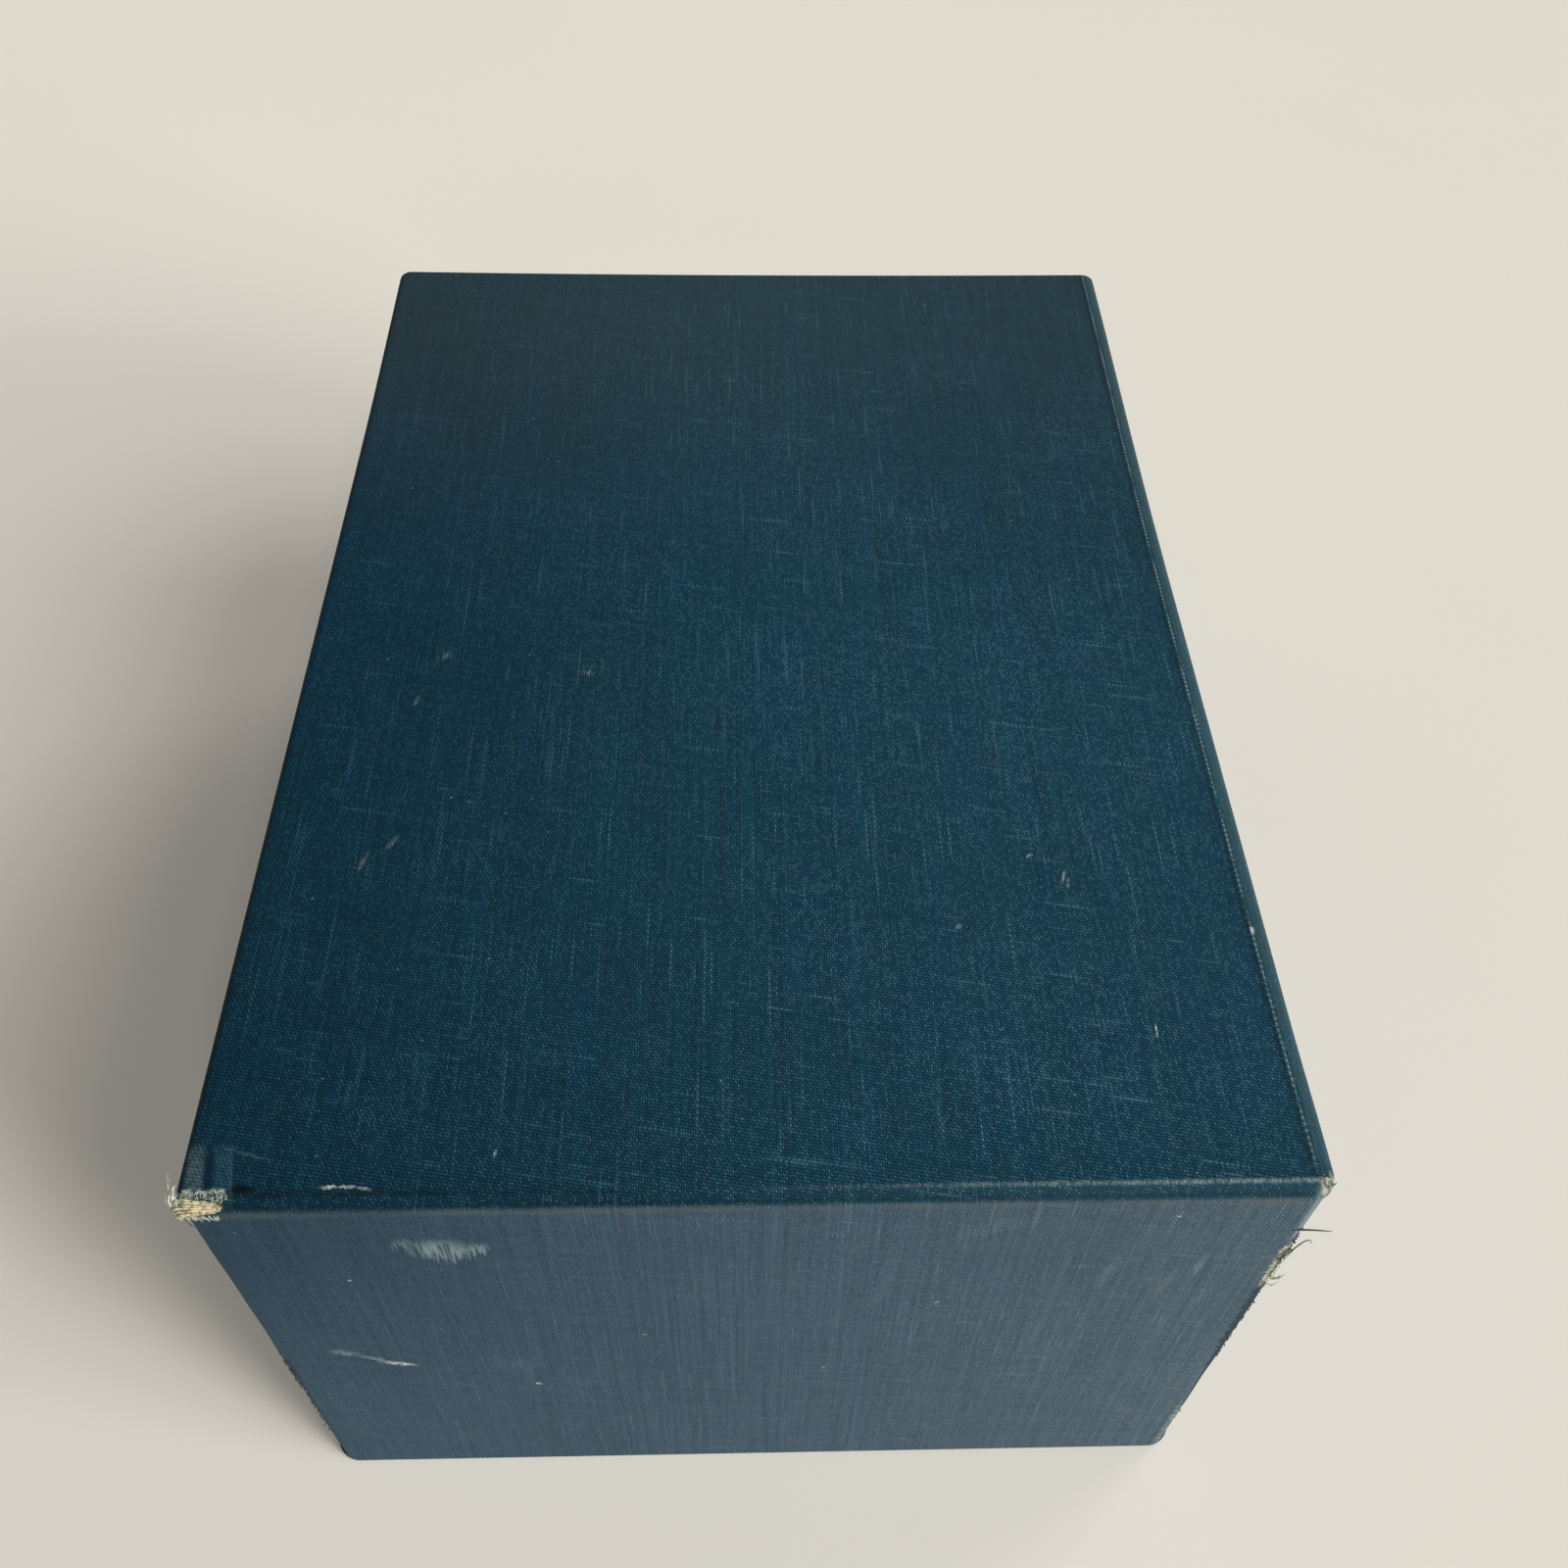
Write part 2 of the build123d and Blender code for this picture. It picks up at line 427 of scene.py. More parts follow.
field, field_map, ring, ring_map = case_half()
base_patches = []
lid_patches = []
for spots, flat, flip in ((field, field_map, True), (ring, ring_map, False)):
    base_map = grid(flat[..., 0], spine_face - case_height - flat[..., 1])
    base_patches.append((spots, base_map, flip))
    raised = shape_lid(spots)
    raised[..., 2] = case_height - raised[..., 2]
    lid_map = grid(flat[..., 0], spine_face + flat[..., 1])
    lid_patches.append((raised, lid_map, not flip))
lid_cloth = make_piece("lid_case_covering", lid_patches)
base_cloth = make_piece("base_case_covering", base_patches)
for piece in (lid_cloth, base_cloth):
    thicken(piece, cloth_thickness)

spine_side = 86.3
spine_round = 3.2
spine_end = 0.95  # where the cloth of an upright edge stops, under the bend


def spine_edge(tail):
    """Cloth round one upright edge of the spine.

    In plan it runs flat, round a quarter circle, over the edge of the board and back along
    its inner face. The same line is carried up the spine, and the worn edge swells and dips
    a little on the way.
    """
    quarter = arc(0, 90, 13)
    small = arc(0, 90, 5)
    flat_end = spine_side - spine_round
    inner = 0.4
    turn_in_middle = 80.0
    inner_face = spine_face + board_layer
    plan_x = np.hstack([
        [case_side - spine_corner], flat_end + spine_round * np.sin(quarter),
        spine_side - inner + inner * np.cos(small), [turn_in_middle, spine_side - turn_in],
    ])
    plan_y = np.hstack([
        [spine_face], spine_face + spine_round * (1 - np.cos(quarter)),
        inner_face - inner + inner * np.sin(small), [inner_face, inner_face],
    ])
    step = np.hypot(np.diff(plan_x), np.diff(plan_y))
    along = plan_x[0] + np.hstack([[0], np.cumsum(step)])
    z = np.linspace(spine_end, case_height - spine_end, 61)
    x, height = np.meshgrid(plan_x, z)
    outward = np.hstack([[0], np.sin(quarter * 2), np.zeros(len(small) + 2)])
    phase = 0.0 if tail else 2.1
    waver = 0.05 * np.sin(height / 9.1 + phase) + 0.03 * np.sin(height / 3.7 + 2 * phase)
    end = smooth(height, 0, 5) * smooth(case_height - height, 0, 5)
    push = waver * outward * end
    x, y = x + push * 0.7, plan_y - push * 0.7
    flat = grid(along, height + spine_face - case_height)
    if not tail:
        x = -x
        flat[..., 0] *= -1
    return np.stack([x, y, height], -1), flat, not tail


spine_cloth = make_piece("spine_case_covering", [spine_edge(True), spine_edge(False)])
thicken(spine_cloth, cloth_thickness)

# --- The case's covering: bookcloth
# A plain-woven cotton, dyed blue-green, filled and calendered. Single threads come out lighter
# where the dye has rubbed off their tops, slubs run along them, and the dye has clouded.


def new_group(name, inputs, outputs):
    """An empty node group, and its sockets as seen from inside it.

    inputs gives each number its usual value, and None makes a place. Outputs are numbers.
    """
    group = bpy.data.node_groups.new(name, "ShaderNodeTree")
    for label, value in inputs.items():
        kind = "NodeSocketVector" if value is None else "NodeSocketFloat"
        socket = group.interface.new_socket(label, in_out="INPUT", socket_type=kind)
        if value is not None:
            socket.default_value = value
    for label in outputs:
        group.interface.new_socket(label, in_out="OUTPUT", socket_type="NodeSocketFloat")
    entry = group.nodes.new("NodeGroupInput").outputs
    leave = group.nodes.new("NodeGroupOutput").inputs
    return group, entry, leave


def use_group(group, inputs):
    """Places a node group, fills its inputs, and gives back its outputs."""
    return add("Group", inputs, node_tree=group).node.outputs


def two_ways(place):
    """The first two coordinates of a place."""
    first = add("SeparateXYZ", {0: place})
    return first, first.node.outputs[1]


def stretched(place, first_scale, second_scale, detail=2.0, roughness=0.5):
    """Noise with a scale of its own each way, in cells to a metre."""
    scales = {0: place, 1: (first_scale, second_scale, 1.0)}
    return noise(add("VectorMath", scales, operation="MULTIPLY"), 1.0, detail, roughness)


def make_weave():
    """Plain weave. The threads are sine waves, and the sign of their product says which is on top.

    Height is the round of the thread on top. Tone is a thread's own shade, which changes
    slowly along it. Slub is a light streak on single threads, and Grain a value for each crossing.
    """
    inputs = {"Place": None, "Warp Pitch": 0.00040, "Weft Pitch": 0.00056, "Skew": 0.17,
              "Wander": 0.0004}
    group, entry, leave = new_group("plain_weave", inputs, ("Height", "Tone", "Slub", "Grain"))
    place = entry["Place"]
    u, v = two_ways(place)
    drift = reckon("SUBTRACT", noise(place, 45.0, 2.0), 0.5)
    drift = times(drift, entry["Wander"])
    warp = reckon("DIVIDE", reckon("ADD", u, drift), entry["Warp Pitch"])
    level_v = reckon("MULTIPLY_ADD", u, entry["Skew"], v)
    level_v = reckon("ADD", level_v, drift)
    weft = reckon("DIVIDE", level_v, entry["Weft Pitch"])
    warp_wave = reckon("SINE", times(warp, np.pi))
    weft_wave = reckon("SINE", times(weft, np.pi))
    product = times(warp_wave, weft_wave)
    over = reckon("MULTIPLY_ADD", product, 1.3, 0.5, clamp=True)
    warp_round = reckon("ABSOLUTE", warp_wave)
    weft_round = reckon("ABSOLUTE", weft_wave)
    high = times(warp_round, over)
    low = times(weft_round, reckon("SUBTRACT", 1.0, over))
    height = reckon("ADD", high, low)
    # one of the two slopes that the crossings make stands out more
    slope = times(reckon("ADD", warp, weft), np.pi)
    slope = reckon("MULTIPLY_ADD", reckon("COSINE", slope), -0.25, 0.80)
    height = times(height, slope)

    def along_thread(line, run, detail):
        """Noise that runs along one thread and starts afresh on the next."""
        return noise(add("CombineXYZ", {0: line, 1: run}), 1.0, detail, 0.6)

    def thread(count, apart, run, shown, slub_pace, slub_low, tone_pace, tone_start):
        """A thread's own number, and noise along it as its slubs and its tone."""
        number = reckon("FLOOR", count)
        line = times(number, apart)
        slub = along_thread(line, times(run, slub_pace), 3.0)
        slub = times(ease(slub, slub_low, slub_low + 0.13), reckon("POWER", shown, 0.7))
        tone = along_thread(line, reckon("MULTIPLY_ADD", run, tone_pace, tone_start), 1.0)
        return number, slub, tone

    warp_number, warp_slub, warp_tone = thread(warp, 1.37, v, high, 42.0, 0.57, 16.0, 7.3)
    weft_number, weft_slub, weft_tone = thread(weft, 1.71, u, low, 48.0, 0.59, 22.0, 5.1)
    tone = reckon("MULTIPLY_ADD", weft_tone, 0.35, times(warp_tone, 0.65))
    slub = reckon("MAXIMUM", warp_slub, times(weft_slub, 0.85))
    # single crossings that stand out
    cell = add("CombineXYZ", {0: warp_number, 1: weft_number})
    grain = add("TexWhiteNoise", {"Vector": cell}, noise_dimensions="2D")
    fill(leave, {"Height": height, "Tone": tone, "Slub": slub, "Grain": grain})
    return group


def make_mark():
    """A mask of one oval mark: 1 inside, 0 outside, with a soft edge. Lengths are in metres."""
    inputs = {"Place": None, "Centre": None, "Angle": 0.0, "Length": 0.001, "Width": 0.001,
              "Strength": 1.0}
    group, entry, leave = new_group("mark", inputs, ["Mask"])
    from_centre = add("VectorMath", {0: entry["Place"], 1: entry["Centre"]}, operation="SUBTRACT")
    turned = add("VectorRotate", {"Vector": from_centre, "Angle": entry["Angle"]},
                 rotation_type="Z_AXIS", invert=True)
    size = add("CombineXYZ", {0: entry["Length"], 1: entry["Width"], 2: 1.0})
    scaled = add("VectorMath", {0: turned, 1: size}, operation="DIVIDE")
    away = add("VectorMath", {0: scaled}, 1, operation="LENGTH")
    fill(leave, {"Mask": times(ease(away, 0.35, 1.15, 1.0, 0.0), entry["Strength"])})
    return group


def make_band():
    """A mask of a straight band: 1 within half its width of the centre, fading over Soft."""
    inputs = {"Value": 0.0, "Centre": 0.0, "Half Width": 0.001, "Soft": 0.0005}
    group, entry, leave = new_group("band", inputs, ["Mask"])
    away = reckon("ABSOLUTE", reckon("SUBTRACT", entry["Value"], entry["Centre"]))
    end = reckon("ADD", entry["Half Width"], entry["Soft"])
    fill(leave, {"Mask": ease(away, entry["Half Width"], end, 1.0, 0.0)})
    return group


plain_weave = make_weave()
mark = make_mark()
band = make_band()


def bookcloth(name, deep, green, blue, light, skew=0.17):
    """A cloth material up to its colour and height, for wear to be laid on before it is joined.

    deep is the colour between threads, green and blue the two that the dye clouds between,
    and light that of rubbed thread tops. skew is how far the weft runs askew.
    """
    material, tree, shader = new_material(name)
    place = add("UVMap", tree=tree, uv_map="cloth")
    weave = use_group(plain_weave, {"Place": place, "Skew": skew})
    # the dye has clouded in narrow bands along the warp, and a little in patches
    cloud = noise(place, 26.0, 4.0, 0.55)
    long_cloud = stretched(place, 170.0, 15.0, 4.0, 0.6)
    mottle = reckon("MULTIPLY_ADD", long_cloud, 0.85, times(cloud, 0.60))
    colour = mix(ease(mottle, 0.56, 0.92), green, blue)
    tone = ease(weave["Tone"], 0.32, 0.68, 0.79, 1.25)
    colour = mix(1.0, colour, tone, "MULTIPLY")
    colour = mix(ease(weave["Height"], 0.06, 0.62), deep, colour)
    rubbed = ease(weave["Grain"], 0.45, 1.0, 0.06, 0.41)
    rubbed = times(rubbed, ease(weave["Height"], 0.33, 0.76))
    rubbed = times(rubbed, ease(cloud, 0.30, 0.70, 0.75, 1.15))
    rubbed = reckon("MAXIMUM", rubbed, times(weave["Slub"], 0.58))
    colour = mix(rubbed, colour, light)
    return material, shader, place, weave, colour, rubbed


def finish(shader, colour, height, strength, depth, rough):
    """Joins a colour, a bump with its strength and depth, and a roughness to a shader."""
    bump = add("Bump", {"Strength": strength, "Distance": depth, "Height": height})
    fill(shader, {"Base Color": colour, "Normal": bump, "Roughness": rough})


def finish_cloth(shader, colour, height):
    """Joins a cloth's colour and height to its shader. Cotton is matt, with a faint sheen."""
    finish(shader, colour, height, 0.75, 0.00009, ease(height, 0.0, 1.0, 0.92, 0.72))
    fill(shader, {"Specular IOR Level": 0.11, "Sheen Weight": 0.06, "Sheen Roughness": 0.35,
                  "Sheen Tint": (0.70, 0.93, 1.0, 1.0)})


def plain_bookcloth(name, *tones, skew=0.17):
    """A bookcloth with no wear laid on it."""
    material, shader, place, weave, colour, rubbed = bookcloth(name, *tones, skew=skew)
    finish_cloth(shader, colour, weave["Height"])
    return material


case_material, shader, place, weave, colour, rubbed = bookcloth(
    "case_bookcloth", paint(1, 21, 33), paint(11, 60, 75), paint(9, 59, 80), paint(92, 136, 148))
height, grain = weave["Height"], weave["Grain"]
across, down = two_ways(place)


def lay(mask, tone, share=1.0):
    """Lays a tone over the case cloth's colour where the mask says."""
    return mix(times(mask, share), colour, tone)


def strip(value, middle, half_width, soft):
    """The band mask, in millimetres."""
    return use_group(band, {"Value": value, "Centre": middle * mm,
                            "Half Width": half_width * mm, "Soft": soft * mm})["Mask"]


def level(distance, half_width, soft):
    """A strip across the cloth, by its distance from the spine's face. Below 0 it is on it."""
    return strip(down, spine_face + distance, half_width, soft)


fine = stretched(place, 900.0, 900.0, 3.0)
patchy = stretched(place, 130.0, 130.0, 4.0)
strokes = stretched(place, 2400.0, 160.0)  # one or two warp threads wide and some millimetres long
dashes = stretched(place, 420.0, 2600.0)  # the same along the weft
streaks = stretched(place, 1100.0, 18.0, 3.0)

# Painted light: the cloth is painted lighter towards the tail, the side that the light comes from.
painted_side_light = mix(ease(across, -0.105, 0.045), (0.20, 0.50, 0.58, 1.0), (1.0, 1.0, 1.03, 1.0))
colour = mix(1.0, colour, painted_side_light, "MULTIPLY")
# painted shade: the far end of the tail side is painted darker
painted_far_shade = times(ease(down, -0.04, 0.09), ease(across, -0.02, 0.06))
colour = mix(painted_far_shade, colour, (0.70, 0.78, 0.78, 1.0), "MULTIPLY")
# towards the far end grey is laid over the thread tops, partly dust and partly a painted sheen where
# the view grazes the cloth, a little less on the tail side
dust_and_sheen = times(ease(down, 0.0, 0.115, 0.0, 0.42), ease(across, -0.05, 0.05, 1.0, 0.75))
colour = lay(times(dust_and_sheen, ease(height, 0.2, 0.9, 0.5, 1.0)), paint(60, 68, 64))

# The spine is painted lighter and greyer than the lid: partly fade and dust, partly a painted sheen
# where the light grazes it. Its threads show less.
on_spine = level(-case_height / 2, 60.6, 0.7)
fade_and_sheen = mix(ease(streaks, 0.32, 0.68), paint(58, 84, 106), paint(65, 94, 115))
thread_tone = ease(weave["Tone"], 0.32, 0.68, 0.81, 1.20)
fade_and_sheen = mix(1.0, fade_and_sheen, thread_tone, "MULTIPLY")
fade_and_sheen = mix(ease(height, 0.0, 0.68, 0.60, 0.0), fade_and_sheen, paint(32, 54, 74))
fade_and_sheen = mix(times(rubbed, 0.80), fade_and_sheen, paint(132, 158, 170))
fade_and_sheen = mix(ease(patchy, 0.42, 0.75, 0.0, 0.25), fade_and_sheen, paint(80, 100, 108))
# painted light: the spine is painted lighter towards the tail, the side that the light comes from
painted_spine_light = mix(ease(across, -0.160, 0.160), (0.105, 0.332, 0.445, 1.0), (1.45, 1.11, 0.95, 1.0))
fade_and_sheen = mix(1.0, fade_and_sheen, painted_spine_light, "MULTIPLY")
# painted light and shade on the spine's head half: lighter towards the bottom, darker towards the
# top
spine_head_light_and_shade = mix(ease(down, (spine_face - 95) * mm, (spine_face - 5) * mm),
            (1.62, 1.32, 1.16, 1.0), (0.66, 0.76, 0.74, 1.0))
fade_and_sheen = mix(ease(across, -0.095, -0.010, 1.0, 0.0), fade_and_sheen, spine_head_light_and_shade, "MULTIPLY")
colour = lay(on_spine, fade_and_sheen, 0.92)
# what is turned in behind its upright edges has kept its dye
tucked = ease(reckon("ABSOLUTE", across), 87.6 * mm, 90.4 * mm)
colour = lay(times(tucked, on_spine), paint(12, 44, 60), 0.85)

specks = ease(stretched(place, 900.0, 900.0, 1.0), 0.76, 0.84)
colour = lay(specks, paint(150, 172, 176), 0.35)

# The strip of cloth between the joint and the fold is painted a little darker, and towards the tail
# lighter, partly from wear and partly painted light from the right. At the head side a crease is
# pressed into the joint, with painted shade in it, and towards the tail it becomes a light worn
# ridge.
joint_strip = level(1.5, 1.2, 0.6)
colour = lay(joint_strip, paint(8, 38, 50), 0.25)
# lighter towards the tail: partly wear, partly painted light from the right
strip_wear_and_light = times(joint_strip, ease(across, -0.030, 0.070))
colour = lay(strip_wear_and_light, paint(52, 84, 98), 0.34)
dots = times(ease(grain, 0.55, 1.00), ease(height, 0.35, 0.9))
grained = times(joint_strip, dots, ease(across, -0.05, 0.05, 0.45, 1.0))
colour = lay(grained, paint(96, 126, 130), 0.40)
# painted shade in the crease over the joint, strongest at the head side
crease = times(level(joint_line + 0.2, 0.15, 0.9),
               ease(across, -0.066, -0.004, 0.55, 0.0), ease(patchy, 0.3, 0.6, 0.55, 1.0))
colour = lay(crease, paint(3, 14, 22))
# a painted shadow deeper in the crease near the head end
crease_shadow_spot = use_group(mark, {"Place": place, "Centre": (-0.0778, -0.12245, 0.0),
                           "Length": 0.0029, "Width": 0.0008})["Mask"]
colour = lay(crease_shadow_spot, paint(1, 7, 12), 0.9)
worn_ridge = times(level(joint_line, 0.05, 0.60), ease(across, -0.012, 0.075, 0.0, 1.0))
ridge_threads = times(ease(grain, 0.05, 0.75, 0.35, 1.0), ease(strokes, 0.3, 0.6, 0.45, 1.0))
colour = lay(times(worn_ridge, ridge_threads), paint(132, 150, 148), 0.75)
under_fold = level(0.7, 0.15, 0.6)
colour = lay(under_fold, paint(6, 28, 38), 0.32)
below_fold = level(-0.9, 0.15, 1.5)
colour = lay(times(below_fold, ease(patchy, 0.3, 0.65, 0.4, 1.0)), paint(92, 94, 86), 0.30)

# The board's edge has rubbed a dotted line into the cloth. The turned edge at the tail is paler,
# partly worn and partly painted light from the right, and the head side's edge is painted shade.
stitch_pitch = 0.00112
stitch = reckon("SINE", times(down, 2 * np.pi / stitch_pitch))
on_lid = ease(down, (spine_face + 2) * mm, (spine_face + 8) * mm)
edge_dark = times(strip(across, 83.9, 0.15, 0.5), on_lid)
colour = lay(edge_dark, paint(6, 26, 38), 0.45)
edge_line = times(strip(across, 84.6, 0.04, 0.26), ease(stitch, -0.2, 0.7, 0.25, 1.0), on_lid,
                  ease(patchy, 0.34, 0.60, 0.15, 1.0))
colour = lay(edge_line, paint(140, 156, 150), 0.72)
# the tail's turned edge: partly wear, partly painted light from the right
edge_wear_and_light = times(strip(across, 86.3, 0.9, 0.5), on_lid)
colour = lay(edge_wear_and_light, paint(62, 86, 92), 0.50)
# painted shade on the head side's edge, the side away from the light
lid_head_edge_shade = times(ease(across, -87.3 * mm, -85.6 * mm, 1.0, 0.0), on_lid)
colour = lay(lid_head_edge_shade, paint(9, 26, 34), 0.7)

# Scuffs, scratches and specks: centre, angle, half length, half width, strength.
scuffs = [
    (-49.6, -140.4, -8, 6.0, 4.4, 0.60), (-55.4, -138.0, -30, 1.9, 2.6, 0.34),
    (-44.2, -140.0, 30, 2.6, 2.0, 0.50), (71.5, -150.5, 86, 5.0, 0.9, 0.30),
    (67.5, -158.0, 84, 8.0, 1.0, 0.15), (57.0, -153.0, 84, 9.0, 1.3, 0.09),
    (74.5, -166.0, 86, 8.0, 0.9, 0.13), (-60.5, -10.6, 10, 1.8, 0.4, 0.45),
    (-32.4, -15.3, 20, 1.7, 0.4, 0.45), (20.0, -160.0, 80, 9.0, 1.4, 0.08),
    (36.0, -135.0, 30, 7.0, 3.0, 0.10), (-44.0, -192.0, -20, 5.0, 4.0, 0.07),
]
scratches = [
    (-64.6, -122.3, 4, 1.5, 0.36, 0.95), (-61.9, -122.3, -3, 1.4, 0.34, 0.85),
    (-59.4, -122.6, -6, 1.4, 0.28, 0.40), (48.4, -61.2, 20, 0.7, 0.35, 0.75),
    (53.8, -66.0, 75, 1.9, 0.28, 0.40), (54.4, -67.2, 80, 1.2, 0.45, 0.30),
    (64.6, -97.0, 88, 1.5, 0.22, 0.90),
    (-40.4, -117.1, 80, 0.9, 0.30, 0.34), (84.7, -77.6, 85, 1.2, 0.45, 0.85),
    (-73.2, -184.6, -22, 3.0, 1.60, 0.24), (-69.0, -187.4, -26, 2.8, 0.80, 0.38),
    (-64.9, -190.2, -20, 3.8, 0.95, 1.00), (-40.9, -202.3, 0, 0.7, 0.8, 0.85),
    (64.0, -131.9, 10, 0.5, 0.4, 0.60), (12.0, -196.0, 0, 0.4, 0.5, 0.7),
    (-66.0, -152.0, 60, 0.5, 0.4, 0.7), (-20.0, -178.0, 10, 0.6, 0.5, 0.4),
    (30.0, -165.0, 40, 0.6, 0.5, 0.4),
]
dull_marks = [
    (-64.6, -23.1, 80, 1.5, 0.5, 0.55), (-64.4, -57.4, 60, 2.2, 0.6, 0.50),
    (-68.9, -61.7, 75, 2.5, 0.5, 0.50), (34.3, -76.2, 30, 0.8, 0.5, 0.80),
    (-52.0, -48.0, 0, 0.8, 0.4, 0.40),
]


def all_marks(marks, sway):
    """The strongest of several marks at each point. Each warp thread shifts them a little."""
    shift = times(reckon("SUBTRACT", strokes, 0.5), sway * mm)
    shifted = add("VectorMath", {0: place, 1: add("CombineXYZ", {1: shift})})
    most = 0.0
    for x, y, angle, length, width, strength in marks:
        mask = use_group(mark, {
            "Place": shifted, "Centre": (x * mm, y * mm, 0), "Angle": np.radians(angle),
            "Length": length * mm, "Width": width * mm, "Strength": strength})["Mask"]
        most = reckon("MAXIMUM", most, mask)
    return most


stroked = times(ease(strokes, 0.36, 0.60, 0.12, 1.0), ease(height, 0.1, 0.8, 0.5, 1.0))
broken = times(ease(fine, 0.34, 0.60, 0.20, 1.0), ease(height, 0.2, 0.9, 0.5, 1.0))
colour = lay(times(all_marks(scuffs, 9.0), stroked), paint(160, 178, 176))
colour = lay(times(all_marks(scratches, 0.9), broken), paint(214, 222, 212))
colour = lay(times(all_marks(dull_marks, 1.2), broken), paint(124, 138, 122))
colour = lay(times(all_marks([(-78.4, -116.6, -17, 5.4, 0.30, 0.26)], 0.9), broken),
             paint(112, 146, 152))

# At the head end of the fold the cloth lies double and is paler, over a crease with painted shade in
# it.
patch_near = times(level(6.0, 2.4, 4.0), ease(height, 0.15, 0.9, 0.35, 1.0),
                   ease(fine, 0.35, 0.65, 0.45, 1.0))
fold_slant = 0.18
bent_fold = reckon("MULTIPLY_ADD", down, fold_slant, across)
fold_at = -83.4 - fold_slant * 119.2
patch_left = times(strip(bent_fold, fold_at - 1.6, 0.8, 1.3), patch_near)
patch_right = times(strip(bent_fold, fold_at + 2.2, 0.7, 1.4), patch_near)
patch_edge = times(strip(bent_fold, fold_at + 3.7, 0.05, 0.45), patch_near)
colour = lay(patch_left, paint(92, 112, 112), 0.75)
colour = lay(patch_right, paint(66, 98, 110), 0.45)
colour = lay(patch_edge, paint(92, 122, 132), 0.28)
# painted shade in the fold's crease
fold_shade = times(strip(bent_fold, fold_at + 0.35, 0.25, 1.1), level(5.4, 2.6, 4.0))
colour = lay(fold_shade, paint(0, 26, 44), 0.80)

# Where the cloth has worn through at the corners and the tail's upright edge, undyed threads
# show, and the dyed ones beside them stand out like a comb.
comb = stretched(place, 260.0, 1500.0, 1.0)
comb_reach = 2.6 * mm
jag = reckon("MULTIPLY_ADD", comb, comb_reach, across)
side_jag = reckon("MULTIPLY_ADD", comb, comb_reach, reckon("ABSOLUTE", across))
past_turn = ease(side_jag, 87.4 * mm, 89.2 * mm, 1.0, 0.0)
worn_tail = times(ease(jag, 84.6 * mm, 85.0 * mm), past_turn)
thinning = ease(down, (spine_face - 95) * mm, (spine_face - 55) * mm, 1.1 * mm, 0.0)
# The spine's upright edges are painted darker: on the head side this is painted shade, the side away
# from the light, and on the tail side a long stretch of the edge is darker too.
dark_side = times(ease(reckon("SUBTRACT", side_jag, thinning), 84.5 * mm, 84.9 * mm), past_turn)
tail_half = ease(across, -0.01, 0.01)
dark_tail = times(tail_half, level(-67, 31.0, 4.0))
spine_head_edge_shade = times(reckon("SUBTRACT", 1.0, tail_half), level(-82, 20.0, 2.0))
colour = lay(times(dark_side, reckon("MAXIMUM", dark_tail, spine_head_edge_shade)), paint(26, 38, 44), 0.80)
cream = mix(ease(fine, 0.38, 0.62), paint(66, 76, 72), paint(182, 180, 154))
frayed = times(worn_tail, level(-25.5, 7.5, 2.0))
colour = lay(frayed, cream, 0.9)
low_fray = times(worn_tail, level(-103, 0.7, 1.4))
colour = lay(low_fray, cream, 0.5)
low_strip = times(worn_tail, level(-108, 11.0, 3.0), ease(fine, 0.40, 0.62))
colour = lay(low_strip, paint(150, 154, 140), 0.45)
rubbed_strip = times(strip(across, 84.9, 0.8, 0.7), level(-7, 6.0, 4.0))
colour = lay(rubbed_strip, paint(126, 142, 144), 0.6)
gold = mix(ease(dashes, 0.38, 0.60), paint(84, 76, 54), paint(206, 194, 152))
narrowing = ease(across, -0.087, -0.079, 0.0, 0.75 * mm)
from_tear = reckon("SUBTRACT", down, (spine_face + 0.9) * mm)
torn_reach = reckon("ADD", reckon("ABSOLUTE", from_tear), narrowing)
torn = times(ease(torn_reach, 1.2 * mm, 1.6 * mm, 1.0, 0.0),
             ease(reckon("MULTIPLY_ADD", strokes, 1.8 * mm, across),
                  -79.2 * mm, -78.6 * mm, 1.0, 0.0))
colour = lay(torn, gold, 0.95)
torn_edges = times(level(3.2, 0.4, 0.6), ease(fine, 0.46, 0.60),
                   ease(across, -80.0 * mm, -79.4 * mm, 1.0, 0.0))
colour = lay(torn_edges, paint(160, 178, 174), 0.6)
knots = all_marks([(85.8, -123.9, 60, 2.4, 1.2, 1.0)], 0.6)
colour = lay(times(knots, ease(fine, 0.36, 0.52)), cream, 0.9)
height = reckon("SUBTRACT", height, times(frayed, 0.6))
finish_cloth(shader, colour, height)

for piece in (lid_cloth, base_cloth, spine_cloth):
    piece.data.materials.append(case_material)
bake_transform(lid_cloth)
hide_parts("lid_case_cloth")
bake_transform(base_cloth)
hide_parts("base_case_cloth")
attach(spine_cloth, "spine")
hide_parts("spine_cloth")

# --- Hinge cloth
# One strip of the same cloth lines the spine and is glued down on the lid and base boards. It
# is pressed into both joints. It is made in two halves, as the covering is, with the ends of
# the case cloth that are turned in across each joint.
lined_half = 71.3
strip_half = 85.9  # with the ends that are turned in across the joints
joint_clear = 0.06  # from the end of a board to the cloth in the joint
hinge_thickness = 0.3
board_start = -121.8
hinge_end = -101.8


